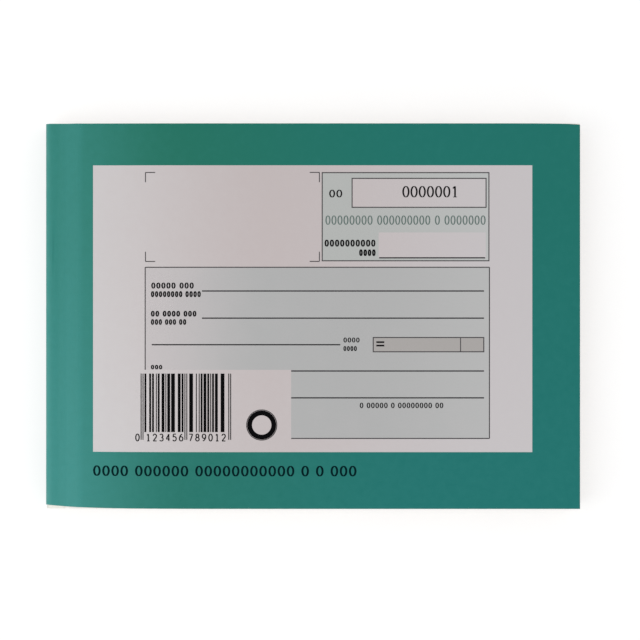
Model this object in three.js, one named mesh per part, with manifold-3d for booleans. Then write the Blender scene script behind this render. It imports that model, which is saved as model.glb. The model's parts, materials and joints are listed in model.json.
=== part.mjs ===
// A carbonless receipt book: fifty sets of three self-copying leaves, stapled through one side
// and glued into a wrap of printed card. Millimetres, +X from spine to fore edge, +Y to the head
// of the form, +Z up. The origin is the middle of the underside.
import * as THREE from "three";
import { mergeVertices } from "three/addons/utils/BufferGeometryUtils.js";
import Module from "manifold-3d";

const wasm = await Module();
wasm.setup();

// Trimmed size of the closed book
const BOOK_LENGTH = 187.5;
const BOOK_WIDTH = 135;

// Paper, from the top of a set to its bottom
const ORIGINAL_THICKNESS = 0.065;
const DUPLICATE_THICKNESS = 0.06;
const TRIPLICATE_THICKNESS = 0.07;
const AIR = 0.01;

// How the sets are shared out: the first ones leaf by leaf, the rest as two packs
const LOOSE_SETS = 3;
const MIDDLE_SETS = 22;
const LOWER_SETS = 25;
const SETS_ABOVE_SHIELD = 1;

// Card and board
const COVER_CARD = 0.3;
const BACK_BOARD = 0.8;
const SHIELD_CARD = 0.35;

// The bound edge, measured from the spine
const FOLD_FROM_SPINE = 12.5;
const RAMP_FOOT_FROM_SPINE = 7.5;
const RAMP_HEAD_FROM_SPINE = 11.5;
const BOUND_EDGE_DROP = 0.75;
const GLUED_FROM_SPINE = 6.8;
const GLUE_FILM = 0.12;
const FRONT_BEND = 2.4;
const BACK_BEND = 1;
const RAMP_BEND = 4;
const BOARD_FROM_SPINE = 1.4;
const FOLD_GAP = 0.05;

// Perforation: short ties hold slip and stub together between long cuts
const PERFORATION_FROM_SPINE = 18;
const PERFORATION_PITCH = 3;
const TIE_WIDTH = 0.8;
const CUT_WIDTH = 0.3;

// The loose card that is laid under the set being written on
const SHIELD_FROM_SPINE = 14.5;
const SHIELD_SIDE_MARGIN = 1;

// Wire staples of flat wire, clinched inwards under the board
const STAPLE_FROM_SPINE = 5.2;
const STAPLE_SPACING = 68;
const STAPLE_CROWN = 13;
const STAPLE_TAIL = 4.5;
const WIRE_THICKNESS = 0.5;
const WIRE_WIDTH = 0.9;
const WIRE_BEND = 0.45;
const WIRE_CLEARANCE = 0.05;

const ARC_STEP = THREE.MathUtils.degToRad(15);
const PAPER = { roughness: 0.85, metalness: 0 };
const LOOKS = {
  cover: { color: 0x2b766c, roughness: 0.5, metalness: 0 },
  glue: { color: 0xe9e4d2, roughness: 0.35, metalness: 0 },
  board: { color: 0x9c9788, roughness: 0.9, metalness: 0 },
  shield: { color: 0xb9b29f, roughness: 0.9, metalness: 0 },
  wire: { color: 0xb4b6b8, roughness: 0.3, metalness: 1 },
  packed: { color: 0xe8e2d8, ...PAPER },
  original: { color: 0xf6f5f0, ...PAPER },
  duplicate: { color: 0xf3e5a3, ...PAPER },
  triplicate: { color: 0xeebfcb, ...PAPER },
};

// Places that several pieces share
const SPINE_X = -BOOK_LENGTH / 2;
const FORE_EDGE_X = BOOK_LENGTH / 2;
const FOLD_X = SPINE_X + FOLD_FROM_SPINE;
const LEAF_START_X = FOLD_X + FOLD_GAP;
const PERFORATION_X = SPINE_X + PERFORATION_FROM_SPINE;
const STAPLE_X = SPINE_X + STAPLE_FROM_SPINE;
const LEAVES_OF_A_SET = [
  ["triplicate", TRIPLICATE_THICKNESS],
  ["duplicate", DUPLICATE_THICKNESS],
  ["original", ORIGINAL_THICKNESS],
];
const SET_PITCH = LEAVES_OF_A_SET.reduce((sum, [, thickness]) => sum + thickness + AIR, 0);

// Everything that lies flat, from the underside up, with the height of its lower face
function stackUp() {
  const layers = {};
  let height = 0;
  const lay = (name, thickness) => {
    layers[name] = { bottom: height, top: height + thickness, thickness };
    height += thickness + AIR;
  };
  lay("back_panel", COVER_CARD);
  lay("back_board", BACK_BOARD);
  lay("lower_sets", LOWER_SETS * SET_PITCH - AIR);
  lay("middle_sets", MIDDLE_SETS * SET_PITCH - AIR);
  for (let set = LOOSE_SETS; set >= 1; set--) {
    if (set === SETS_ABOVE_SHIELD) lay("writing_shield", SHIELD_CARD);
    for (const [kind, thickness] of LEAVES_OF_A_SET) lay(`${kind}_${set}`, thickness);
  }
  lay("front_cover", COVER_CARD);
  return layers;
}

const LAYERS = stackUp();
const TOP = LAYERS.front_cover.top;

const leftOf = (direction) => new THREE.Vector2(-direction.y, direction.x);

// Points at a set distance to the left of a line whose inner corners are rounded
function offsetLine(path, distance) {
  const points = [];
  path.forEach(({ at, bend }, i) => {
    const before = i > 0 && at.clone().sub(path[i - 1].at).normalize();
    const after = i < path.length - 1 && path[i + 1].at.clone().sub(at).normalize();
    if (!before || !after) {
      points.push(at.clone().addScaledVector(leftOf(before || after), distance));
      return;
    }
    const turn = Math.atan2(before.cross(after), before.dot(after));
    const side = Math.sign(turn);
    const centre = at
      .clone()
      .addScaledVector(before, -bend * Math.tan(Math.abs(turn) / 2))
      .addScaledVector(leftOf(before), side * bend);
    const steps = Math.ceil(Math.abs(turn) / ARC_STEP);
    for (let step = 0; step <= steps; step++) {
      const leftwards = leftOf(before).rotateAround(new THREE.Vector2(), (turn * step) / steps);
      points.push(centre.clone().addScaledVector(leftwards, distance - side * bend));
    }
  });
  return points;
}

// The outline of a band that keeps between two distances to the left of a line
const band = (path, near, far) =>
  new THREE.Shape([...offsetLine(path, near), ...offsetLine(path, far).reverse()]);

// The card's middle line, from the fold over the bound edge, down the spine and under the book
const corner = (x, z, bend) => ({ at: new THREE.Vector2(x, z), bend });
const HALF_CARD = COVER_CARD / 2;
const STRIP_Z = TOP - BOUND_EDGE_DROP - HALF_CARD;
const SPINE_LINE_X = SPINE_X + HALF_CARD;
const FRONT_STRIP = [
  corner(FOLD_X, TOP - HALF_CARD),
  corner(SPINE_X + RAMP_HEAD_FROM_SPINE, TOP - HALF_CARD, RAMP_BEND),
  corner(SPINE_X + RAMP_FOOT_FROM_SPINE, STRIP_Z, RAMP_BEND),
  corner(SPINE_LINE_X, STRIP_Z, FRONT_BEND),
];
const WRAP_LINE = [
  ...FRONT_STRIP,
  corner(SPINE_LINE_X, HALF_CARD, BACK_BEND),
  corner(FORE_EDGE_X, HALF_CARD),
];
const BLOCK_FOOT = LAYERS.lower_sets.bottom;
const GLUE_START = HALF_CARD + AIR;
const BLOCK_START = GLUE_START + GLUE_FILM + AIR;

// A profile in X and Z, drawn out over the width of the book
function alongBook(shape) {
  return new THREE.ExtrudeGeometry(shape, { depth: BOOK_WIDTH, bevelEnabled: false })
    .rotateX(Math.PI / 2)
    .translate(0, BOOK_WIDTH / 2, 0);
}

// A box from its lower corner to its upper one
function boxBetween(low, high) {
  const size = high.map((value, i) => value - low[i]);
  return new THREE.BoxGeometry(...size).translate(...high.map((value, i) => (value + low[i]) / 2));
}

// A leaf or card of the full width, from one X to the fore edge
function sheet(fromX, { bottom, top }, margin = 0) {
  const side = BOOK_WIDTH / 2 - margin;
  return boxBetween([fromX, -side, bottom], [FORE_EDGE_X, side, top]);
}

function solidOf(geometry) {
  const bare = geometry.clone();
  bare.deleteAttribute("normal");
  bare.deleteAttribute("uv");
  const merged = mergeVertices(bare);
  return new wasm.Manifold(
    new wasm.Mesh({
      numProp: 3,
      vertProperties: merged.attributes.position.array,
      triVerts: new Uint32Array(merged.index.array),
    }),
  );
}

function subtractAll(blank, tools) {
  const cut = tools.reduce((rest, tool) => rest.subtract(solidOf(tool)), solidOf(blank));
  const { vertProperties, triVerts } = cut.getMesh();
  return new THREE.BufferGeometry()
    .setAttribute("position", new THREE.BufferAttribute(vertProperties, 3))
    .setIndex(new THREE.BufferAttribute(triVerts, 1));
}

// The staples run from the top of the stapled leaves to the underside of the board
const CROWN_TOP = TOP - BOUND_EDGE_DROP - HALF_CARD - BLOCK_START;
const CLINCH_BOTTOM = LAYERS.back_board.bottom;
const STAPLES = [
  ["head_staple", STAPLE_SPACING / 2],
  ["foot_staple", -STAPLE_SPACING / 2],
];

// Flat wire bent into a crown, two legs and two tails that turn in towards each other
function staple(centreY) {
  const half = WIRE_THICKNESS / 2;
  const legY = STAPLE_CROWN / 2 - half;
  const [high, low] = [CROWN_TOP - half, CLINCH_BOTTOM + half];
  const path = [
    corner(legY - STAPLE_TAIL, low),
    corner(legY, low, WIRE_BEND),
    corner(legY, high, WIRE_BEND),
    corner(-legY, high, WIRE_BEND),
    corner(-legY, low, WIRE_BEND),
    corner(STAPLE_TAIL - legY, low),
  ];
  return new THREE.ExtrudeGeometry(band(path, -half, half), { depth: WIRE_WIDTH, bevelEnabled: false })
    .rotateX(Math.PI / 2)
    .rotateZ(Math.PI / 2)
    .translate(STAPLE_X - WIRE_WIDTH / 2, centreY, 0);
}

// What a staple takes out of the leaves and the board: its two legs, its crown and its tails
function stapleRoom(centreY) {
  const sideX = WIRE_WIDTH / 2 + WIRE_CLEARANCE;
  const outerY = STAPLE_CROWN / 2 + WIRE_CLEARANCE;
  const innerY = STAPLE_CROWN / 2 - WIRE_THICKNESS - WIRE_CLEARANCE;
  const tailY = innerY + WIRE_CLEARANCE - STAPLE_TAIL;
  const depth = WIRE_THICKNESS + WIRE_CLEARANCE;
  const slot = (fromY, toY, fromZ, toZ) =>
    boxBetween(
      [STAPLE_X - sideX, centreY + fromY, fromZ],
      [STAPLE_X + sideX, centreY + toY, toZ],
    );
  return [
    slot(innerY, outerY, 0, TOP),
    slot(-outerY, -innerY, 0, TOP),
    slot(-outerY, outerY, CROWN_TOP - depth, TOP),
    slot(tailY, outerY, 0, CLINCH_BOTTOM + depth),
    slot(-outerY, -tailY, 0, CLINCH_BOTTOM + depth),
  ];
}

// The side of a leaf along its perforation: ties stand out from one edge to the tear line
function perforatedEdge(edgeX) {
  const ties = Math.floor(BOOK_WIDTH / PERFORATION_PITCH);
  const points = [];
  for (let tie = 0; tie < ties; tie++) {
    const y = (tie - (ties - 1) / 2) * PERFORATION_PITCH;
    const [low, high] = [y - TIE_WIDTH / 2, y + TIE_WIDTH / 2];
    points.push([edgeX, low], [PERFORATION_X, low], [PERFORATION_X, high], [edgeX, high]);
  }
  return points.map(([x, y]) => new THREE.Vector2(x, y));
}

// A stub or a slip: three straight sides and one perforated one
function perforatedSheet(plainX, edgeX, { bottom, thickness }) {
  const side = BOOK_WIDTH / 2;
  const outline = [
    new THREE.Vector2(plainX, -side),
    new THREE.Vector2(edgeX, -side),
    ...perforatedEdge(edgeX),
    new THREE.Vector2(edgeX, side),
    new THREE.Vector2(plainX, side),
  ];
  return new THREE.ExtrudeGeometry(new THREE.Shape(outline), {
    depth: thickness,
    bevelEnabled: false,
  }).translate(0, 0, bottom);
}

// The stapled edge of every leaf, pressed into one block under the wrap
function boundEdge() {
  const line = [...FRONT_STRIP, corner(SPINE_LINE_X, BLOCK_FOOT)];
  const outline = [...offsetLine(line, BLOCK_START), new THREE.Vector2(FOLD_X, BLOCK_FOOT)];
  const rooms = STAPLES.flatMap(([, y]) => stapleRoom(y));
  return subtractAll(alongBook(new THREE.Shape(outline)), rooms);
}

function backBoard() {
  const rooms = STAPLES.flatMap(([, y]) => stapleRoom(y));
  return subtractAll(sheet(SPINE_X + BOARD_FROM_SPINE, LAYERS.back_board), rooms);
}

// The glue joins the wrap to the bound edge on top and down the spine
function bindingGlue() {
  const line = [
    corner(SPINE_X + GLUED_FROM_SPINE, STRIP_Z),
    corner(SPINE_LINE_X, STRIP_Z, FRONT_BEND),
    corner(SPINE_LINE_X, BLOCK_FOOT),
  ];
  return alongBook(band(line, GLUE_START, GLUE_START + GLUE_FILM));
}

const book = new THREE.Group();

function add(name, geometry, look, group = book) {
  const mesh = new THREE.Mesh(geometry, new THREE.MeshStandardMaterial(LOOKS[look]));
  mesh.name = name;
  group.add(mesh);
}

// A set is a perforated original and duplicate over a triplicate that stays in the book
function addSet(set) {
  const leaves = new THREE.Group();
  add(`triplicate_${set}`, sheet(LEAF_START_X, LAYERS[`triplicate_${set}`]), "triplicate", leaves);
  for (const kind of ["duplicate", "original"]) {
    const layer = LAYERS[`${kind}_${set}`];
    const stubEdge = PERFORATION_X - CUT_WIDTH / 2;
    const slipEdge = PERFORATION_X + CUT_WIDTH / 2;
    add(`${kind}_${set}_stub`, perforatedSheet(LEAF_START_X, stubEdge, layer), kind, leaves);
    add(`${kind}_${set}_slip`, perforatedSheet(FORE_EDGE_X, slipEdge, layer), kind, leaves);
  }
  book.add(leaves);
}

add("cover_wrap", alongBook(band(WRAP_LINE, -HALF_CARD, HALF_CARD)), "cover");
add("front_cover", sheet(LEAF_START_X, LAYERS.front_cover), "cover");
add("binding_glue", bindingGlue(), "glue");
add("bound_edge", boundEdge(), "packed");
add("back_board", backBoard(), "board");
for (const [name, y] of STAPLES) add(name, staple(y), "wire");
add("lower_sets", sheet(LEAF_START_X, LAYERS.lower_sets), "packed");
add("middle_sets", sheet(LEAF_START_X, LAYERS.middle_sets), "packed");
for (let set = LOOSE_SETS; set >= 1; set--) addSet(set);
add(
  "writing_shield",
  sheet(SPINE_X + SHIELD_FROM_SPINE, LAYERS.writing_shield, SHIELD_SIDE_MARGIN),
  "shield",
);

export default book;
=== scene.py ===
"""Looks of a carbonless receipt book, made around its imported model.

+X runs from the spine to the fore edge, +Y to the head of the form, +Z up through the front cover.
Shapes are worked out in millimetres and become metres when a mesh is made.
"""

import json
import math

import bpy
import numpy as np
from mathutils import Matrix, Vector


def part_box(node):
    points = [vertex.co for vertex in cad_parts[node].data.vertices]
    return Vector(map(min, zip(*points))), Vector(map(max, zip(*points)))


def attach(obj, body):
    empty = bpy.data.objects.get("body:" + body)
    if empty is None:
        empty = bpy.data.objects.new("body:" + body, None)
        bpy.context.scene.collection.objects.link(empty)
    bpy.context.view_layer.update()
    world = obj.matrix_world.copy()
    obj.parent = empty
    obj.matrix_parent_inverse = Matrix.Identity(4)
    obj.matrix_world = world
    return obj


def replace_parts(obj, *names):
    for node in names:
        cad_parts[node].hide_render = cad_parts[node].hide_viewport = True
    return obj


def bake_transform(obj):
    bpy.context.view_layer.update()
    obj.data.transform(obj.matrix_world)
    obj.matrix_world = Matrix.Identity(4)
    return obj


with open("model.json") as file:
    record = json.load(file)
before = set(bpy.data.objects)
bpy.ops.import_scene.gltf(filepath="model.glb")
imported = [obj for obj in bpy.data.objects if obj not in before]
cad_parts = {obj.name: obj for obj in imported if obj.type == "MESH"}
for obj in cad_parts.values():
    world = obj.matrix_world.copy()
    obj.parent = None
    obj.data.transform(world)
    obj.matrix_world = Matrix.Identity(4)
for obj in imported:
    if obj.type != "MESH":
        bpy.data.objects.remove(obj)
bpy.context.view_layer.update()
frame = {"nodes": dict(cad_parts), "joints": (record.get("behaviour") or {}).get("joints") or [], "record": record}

MM = 0.001

# Places that the frame gives

HINGES = [joint for joint in frame["joints"] if joint["type"] == "hinge"]
HINGE_X = HINGES[0]["pos_m"][0] / MM


def span(node, axis):
    """Lowest and highest place of a node along X, Y or Z, in millimetres."""
    low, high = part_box(node)
    return low[axis] / MM, high[axis] / MM


SPINE_X, FORE_EDGE_X = span("cover_wrap", 0)
FOOT_Y, HEAD_Y = span("cover_wrap", 1)
COVER_BOTTOM, TOP = span("front_cover", 2)
PERFORATION_X = (span("original_1_slip", 0)[0] + span("original_1_stub", 0)[1]) / 2
CARD = TOP - COVER_BOTTOM
WIDTH = HEAD_Y - FOOT_Y

# The wrap, measured from the spine as in the model

STRIP_DROP = 0.75
RAMP_FOOT_X = SPINE_X + 7.5
RAMP_HEAD_X = SPINE_X + 11.5
FRONT_BEND = 2.4
BACK_BEND = 1.0
RAMP_BEND = 4.0
BEND_SHOULDER = (TOP - STRIP_DROP - FRONT_BEND - 1.2, TOP - STRIP_DROP - FRONT_BEND)

# Paper and perforation, as in the model

SET_OF_LEAVES = (("triplicate", 0.07), ("duplicate", 0.06), ("original", 0.065))
LEAF_COUNT = 150
TOP_LEAF_DEPTH = 0.12
AIR = 0.01
GLUE_FILM = 0.12
PERFORATION_PITCH = 3.0
TIE_WIDTH = 0.8
CUT_WIDTH = 0.3
TIE_GAP = 0.002
TRIM_SPREAD = 0.04
LEAF_SEED = 8380

# The fold line, shared out among the hinges from the spine on; a sheet starts after its own hinge's share

FOLD_SHARE = 0.015
FOLD_STEPS = 16
CARD_START_X = HINGE_X + FOLD_SHARE * len(HINGES)

# How the cover has settled out of shape

FOOT_CORNER_LIFT = 1.6
FOOT_CORNER_REACH = 12.0
HEAD_CORNER_DROP = 0.5
HEAD_CORNER_REACH = 5.0
CORNER_SHARPNESS = 8
COVER_SWELL = 0.55
COVER_SWELL_REACH = 22.0
COVER_WAVE = 0.06
BURR = 0.14
BURR_REACH = 0.35

# Relief of the bound strip: how high or deep each form is, and where it lies

VALLEY_DEPTH = 0.1
CROWN_HEIGHT = 0.05
SLACK_HEIGHT = 0.035
SLACK_X = SPINE_X + 4.0
CREASE_HEIGHT = 0.3
CREASE_X = SPINE_X + 2.6
CREASE_Y = 24.0
DENT_DEPTH = 0.08
DENT_X = SPINE_X + 1.2
DENT_Y = 12.5

# How far apart the points of the grids are, and above which angle in degrees an edge is sharp

COVER_STEP = 2.5
WRAP_LINE_STEP = 0.25
WRAP_ROW_STEP = 1.1
BACK_THINNING = 20
INK_STEP = 6.0
SHARP_ANGLE = 35

# Print on the cover: left, foot, right and head of each field, from the middle of the book

PANEL = (-76.8, -47.6, 77.0, 52.8)
STAMP_SPACE = (-58.4, 19.15, 2.5, 50.3)
NUMBER_FIELD = (3.3, 19.2, 62.0, 50.4)
NUMBER_BOX = (13.75, 37.9, 61.0, 48.4)
DATE_BOX = (23.2, 20.4, 60.7, 29.3)
UPPER_FIELD = (-58.5, -18.8, 62.0, 17.1)
LOWER_FIELD = (-7.4, -42.8, 62.0, -18.8)
AMOUNT_BOX = (21.15, -12.65, 60.2, -7.3)
AMOUNT_DIVIDER_X = 51.9
CORNER_ARM = 3.4
RULE = 0.36
FINE_RULE = 0.32
WRITING_RULE = 0.44
FOOT_RULES_Y = (-19.2, -28.6)
SERIAL_PLACE = (31.8, 41.7)
SERIAL_HEIGHT = 3.7
SERIAL_PITCH = 2.86
SERIAL_NARROWING = 0.84
SERIAL_STROKES = (0.6, 0.22)
LEAF_SERIAL_STROKES = (0.46, 0.4)
BAR_CODE = (-60.1, -40.6, -28.4, -20.1)
BAR_MODULES = 95
BAR_SEED = 31
GUARD_BARS = (0, 2, 46, 48, 92, 94)
BAR_HALVES = ((4, 45), (51, 91))
GUARD_FOOT_Y = -43.3
BAR_DIGITS_Y = -43.7
BAR_DIGITS_X = (-61.8, -58.0, -43.1)
BAR_DIGIT_HEIGHT = 2.4
BAR_DIGIT_PITCH = 2.3
BAR_DIGIT_NARROWING = 0.8
BAR_DIGIT_STROKES = (0.42, 0.35)
AMOUNT_MARK_STROKE = 0.6

# Writing rules and the twin bars in the amount box: left, Y and right

RULES = (
    (-38.6, 8.8, 60.1), (-38.6, -0.7, 60.1), (-56.2, -10.0, 9.8), (23.4, 20.4, 60.5),
)
AMOUNT_MARK = (22.4, -9.7, 25.2)

# Two rings of one centre: radius and weight of line

RING_CENTRE = (-17.7, -38.1)
RINGS = ((5.3, 0.25), (4.24, 1.7))
RING_TURN = 5

# Ink: how proud it stands, how deep it is sunk, and what share of its height a tinted field has

COVER_FILM = 0.02
LEAF_FILM = 0.008
SUNK = 0.004
FIELD_LEVEL = 0.3
BOX_LEVEL = 0.5

# Labels, set in plain noughts: left, foot, right and head of a row, how many noughts each of its groups
# has, and how thick their strokes are

LABELS = (
    ((-56.4, 9.8, -41.2, 11.6), (5, 3), 0.54), ((-56.5, 6.8, -38.8, 8.6), (8, 4), 0.5),
    ((-56.5, 0.0, -40.3, 1.7), (2, 4, 3), 0.54), ((-56.5, -2.9, -43.9, -1.2), (3, 3, 2), 0.48),
    ((10.9, -9.1, 16.8, -7.6), (4,), 0.4), ((10.9, -12.1, 15.8, -10.6), (4,), 0.4),
    ((-56.5, -18.5, -52.3, -17.2), (3,), 0.46), ((16.6, -32.1, 46.1, -30.4), (1, 5, 1, 8, 2), 0.4),
    ((5.9, 41.7, 10.9, 44.1), (2,), 0.54),
    ((4.3, 24.5, 22.4, 26.6), (10,), 0.58), ((16.4, 21.2, 22.4, 23.2), (4,), 0.56),
)
HEADING = ((4.6, 32.1, 61.0, 35.1), (8, 9, 1, 7), 0.44)
COVER_LINE = ((-76.8, -55.9, 16.0, -52.6), (4, 6, 11, 1, 1, 3), 0.74)


# Colours

# How many levels of 0 to 255 the painted highlight on the spine's bend is lighter than the pale tone
BEND_HIGHLIGHT_LIFT = 36


def srgb(red, green, blue):
    """A colour written in 0 to 255 as the eye sees it, as linear red, green, blue and alpha."""
    level = np.array([red, green, blue]) / 255
    linear = np.where(level <= 0.04045, level / 12.92, ((level + 0.055) / 1.055) ** 2.4)
    return (*linear.tolist(), 1.0)


# Shaders

class Signal:
    """An output of a node. Arithmetic on it adds Math nodes."""

    def __init__(self, finish, socket):
        self.finish = finish
        self.socket = socket

    def worked(self, operation, *operands, clamp=False):
        """A Math node on the operands."""
        settings = {"operation": operation, "use_clamp": clamp}
        return self.finish.node("ShaderNodeMath", settings, dict(enumerate(operands)))

    def __add__(self, other):
        return self.worked("ADD", self, other)

    def __sub__(self, other):
        return self.worked("SUBTRACT", self, other)

    def __rsub__(self, other):
        return self.worked("SUBTRACT", other, self)

    def __mul__(self, other):
        return self.worked("MULTIPLY", self, other)

    def __truediv__(self, other):
        return self.worked("DIVIDE", self, other)

    def __gt__(self, other):
        return self.worked("GREATER_THAN", self, other)

    def __lt__(self, other):
        return self.worked("LESS_THAN", self, other)

    def __mod__(self, other):
        return self.worked("FLOORED_MODULO", self, other)

    def __abs__(self):
        return self.worked("ABSOLUTE", self)

    __radd__ = __add__
    __rmul__ = __mul__

    def clamped(self):
        """Kept between 0 and 1."""
        return self.worked("ADD", self, 0.0, clamp=True)

    def ramp(self, low, high):
        """Rises smoothly from 0 at low to 1 at high."""
        settings = {"interpolation_type": "SMOOTHSTEP"}
        inputs = {"Value": self, "From Min": low, "From Max": high}
        return self.finish.node("ShaderNodeMapRange", settings, inputs)


class Nodes:
    """A node tree whose nodes are all added by one method."""

    def __init__(self, owner):
        owner.use_nodes = True
        self.tree = owner.node_tree

    def node(self, kind, settings=None, inputs=None, output=0):
        """A new node with its settings and the values or links of its sockets. Gives one of its outputs."""
        made = self.tree.nodes.new(kind)
        for name, value in (settings or {}).items():
            setattr(made, name, value)
        for socket, value in (inputs or {}).items():
            if isinstance(value, Signal):
                self.tree.links.new(value.socket, made.inputs[socket])
            else:
                made.inputs[socket].default_value = value
        return Signal(self, made.outputs[output])

    def mixed(self, factor, first, second, blend="MIX"):
        """The first colour where the factor is 0, the second where it is 1."""
        settings = {"data_type": "RGBA", "blend_type": blend}
        return self.node("ShaderNodeMix", settings, {0: factor, 6: first, 7: second}, output=2)

    def seen_share(self):
        """1 for rays from the camera, a mirror or glass, and 0 for the light that falls on things."""
        kinds = [self.node("ShaderNodeLightPath", output=name)
                 for name in ("Is Camera Ray", "Is Glossy Ray", "Is Transmission Ray")]
        return (kinds[0] + kinds[1] + kinds[2]).clamped()


class Finish(Nodes):
    """A material that works in millimetres of the object's own place."""

    def __init__(self, name, **constants):
        self.material = bpy.data.materials.new(name)
        super().__init__(self.material)
        self.shader = self.tree.nodes["Principled BSDF"]
        for socket, value in constants.items():
            self.shader.inputs[socket.replace("_", " ")].default_value = value
        self.place = self.node("ShaderNodeTexCoord", output="Object")
        parts = [self.node("ShaderNodeSeparateXYZ", {}, {0: self.place}, axis) for axis in "XYZ"]
        self.x, self.y, self.z = (part / MM for part in parts)

    def noise(self, size, detail=2.0, stretch=(1, 1, 1), shift=0.0, roughness=0.5):
        """Cloudy noise from 0 to 1 whose blotches are about size millimetres, times the stretch."""
        scale = [1 / (size * MM * factor) for factor in stretch]
        inputs = {"Vector": self.place, "Location": (shift,) * 3, "Scale": scale}
        spot = self.node("ShaderNodeMapping", {}, inputs)
        inputs = {"Vector": spot, "Scale": 1.0, "Detail": detail, "Roughness": roughness}
        return self.node("ShaderNodeTexNoise", {}, inputs)

    def bumped(self, height, depth):
        """Sets the surface's relief: a height of 1 stands depth millimetres proud."""
        inputs = {"Height": height, "Distance": depth * MM, "Strength": 1.0}
        self.show(Normal=self.node("ShaderNodeBump", {}, inputs))

    def show(self, **signals):
        """Links signals to the shader's sockets, whose names are written with _ for a space."""
        for socket, signal in signals.items():
            self.tree.links.new(signal.socket, self.shader.inputs[socket.replace("_", " ")])


def teal_painted_light_and_hue(x, y):
    """Painted light on the teal, and how its hue turns: the paler, lit tone is strongest at the foot of the spine
    and, as a painted highlight, along the ridge beside the fold, and the hue turns to blue towards the foot of the
    fore edge."""
    foot = 1 - y.ramp(FOOT_Y, 60.0)
    spine = 1 - x.ramp(-100.0, -42.0)
    # A painted highlight along the ridge beside the fold
    ridge = x.ramp(RAMP_FOOT_X - 3.0, RAMP_FOOT_X + 1.0) * (1 - x.ramp(HINGE_X - 0.5, HINGE_X + 1.5))
    # weak is the share of the paler, lit teal: painted light, strongest at the foot of the spine
    weak = spine * (0.57 + 0.25 * foot) + 0.08 * foot + 0.12 * ridge
    return weak, 0.65 * x.ramp(-70.0, 50.0) + 0.35 * foot


def panel_painted_light_and_hue(x, y):
    """Painted light on the panel, and how its hue turns: the paler, lit tone is strongest at the foot of the
    spine, and the colour is cooler towards the fore edge."""
    # weak is the share of the paler, lit panel colour: painted light, strongest at the foot of the spine
    weak = 0.78 * (1 - x.ramp(SPINE_X, -12.0)) + 0.22 * (1 - y.ramp(FOOT_Y, 30.0))
    return weak, x.ramp(-20.0, 80.0)


def coated_card(name, deep, far, pale, roughness, painted_light_by_place):
    """Smooth coated card under printing ink: painted light and shade that change across the book along with a turn
    of hue, ink mottle, a painted highlight on the spine's bend, rubbed edges, long faint scuffs in the gloss and
    the paper's grain under it."""
    card = Finish(name, Specular_IOR_Level=0.16)
    # weak is the share of painted light, which takes the ink towards pale, its lit tone; turned is a turn of hue
    # from deep to far
    weak, turned = painted_light_by_place(card.x, card.y)
    mottle = card.noise(2.4, detail=4.0)
    speck = card.noise(0.22, detail=1.0, shift=3.0)
    # The tone is the painted light plus the ink's own mottle and specks
    tone = (weak + 0.2 * (mottle - 0.5) + 0.12 * (speck - 0.5)).clamped()
    inked = card.mixed(tone, card.mixed(turned, srgb(*deep), srgb(*far)), srgb(*pale))
    # A painted highlight on the spine's bend, where the rounded card faces the light
    bend = (1 - card.x.ramp(SPINE_X, SPINE_X + FRONT_BEND)) * card.z.ramp(*BEND_SHOULDER)
    inked = card.mixed(0.27 * bend, inked, srgb(*(level + BEND_HIGHLIGHT_LIFT for level in pale)))
    edge = card.x.ramp(FORE_EDGE_X - 0.5, FORE_EDGE_X)
    side = abs(card.y).ramp(HEAD_Y - 0.5, HEAD_Y)
    rubbed = card.noise(2.5, detail=3.0, stretch=(1, 3, 1), shift=7.0).ramp(0.35, 0.8)
    worn = ((edge + side + 0.5 * bend) * rubbed * 0.16).clamped()
    card.show(Base_Color=card.mixed(worn, inked, srgb(196, 205, 200)))
    scuffs = card.noise(0.8, detail=3.0, stretch=(14, 1, 1), shift=11.0).ramp(0.58, 0.72)
    card.show(Roughness=roughness + 0.08 * (mottle - 0.5) + 0.12 * scuffs + 0.2 * worn)
    card.bumped(card.noise(0.35, detail=3.0) + 0.6 * card.noise(3.0, shift=5.0), 0.006)
    return card.material


def bare_card(name, colour, depth=0.02):
    """Uncoated card or a cut edge: fibres that lie along the grain, with a soft cloudiness."""
    card = Finish(name, Specular_IOR_Level=0.25)
    fibres = card.noise(0.16, detail=4.0, stretch=(1, 5, 1), roughness=0.65)
    cloud = card.noise(9.0, shift=2.0)
    shade = (0.7 * fibres + 0.3 * cloud).ramp(0.2, 0.8)
    dark = tuple(level * 0.96 for level in colour)
    card.show(Base_Color=card.mixed(shade, srgb(*dark), srgb(*colour)))
    card.show(Roughness=0.78 + 0.15 * fibres)
    card.bumped(fibres, depth)
    return card.material


def writing_paper(name, colour, coating):
    """Thin copying paper: even formation clouds, short fibres and the faint tone of its dry coating."""
    paper = Finish(name, Specular_IOR_Level=0.3)
    cloud = paper.noise(3.2, detail=3.0, shift=1.0)
    fibres = paper.noise(0.12, detail=3.0, stretch=(4, 1, 1))
    tone = (0.6 * cloud + 0.4 * fibres).ramp(0.25, 0.75)
    paper.show(Base_Color=paper.mixed(tone, srgb(*coating), srgb(*colour)))
    paper.show(Roughness=0.66 + 0.2 * fibres)
    paper.bumped(fibres + 0.5 * cloud, 0.008)
    return paper.material


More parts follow.
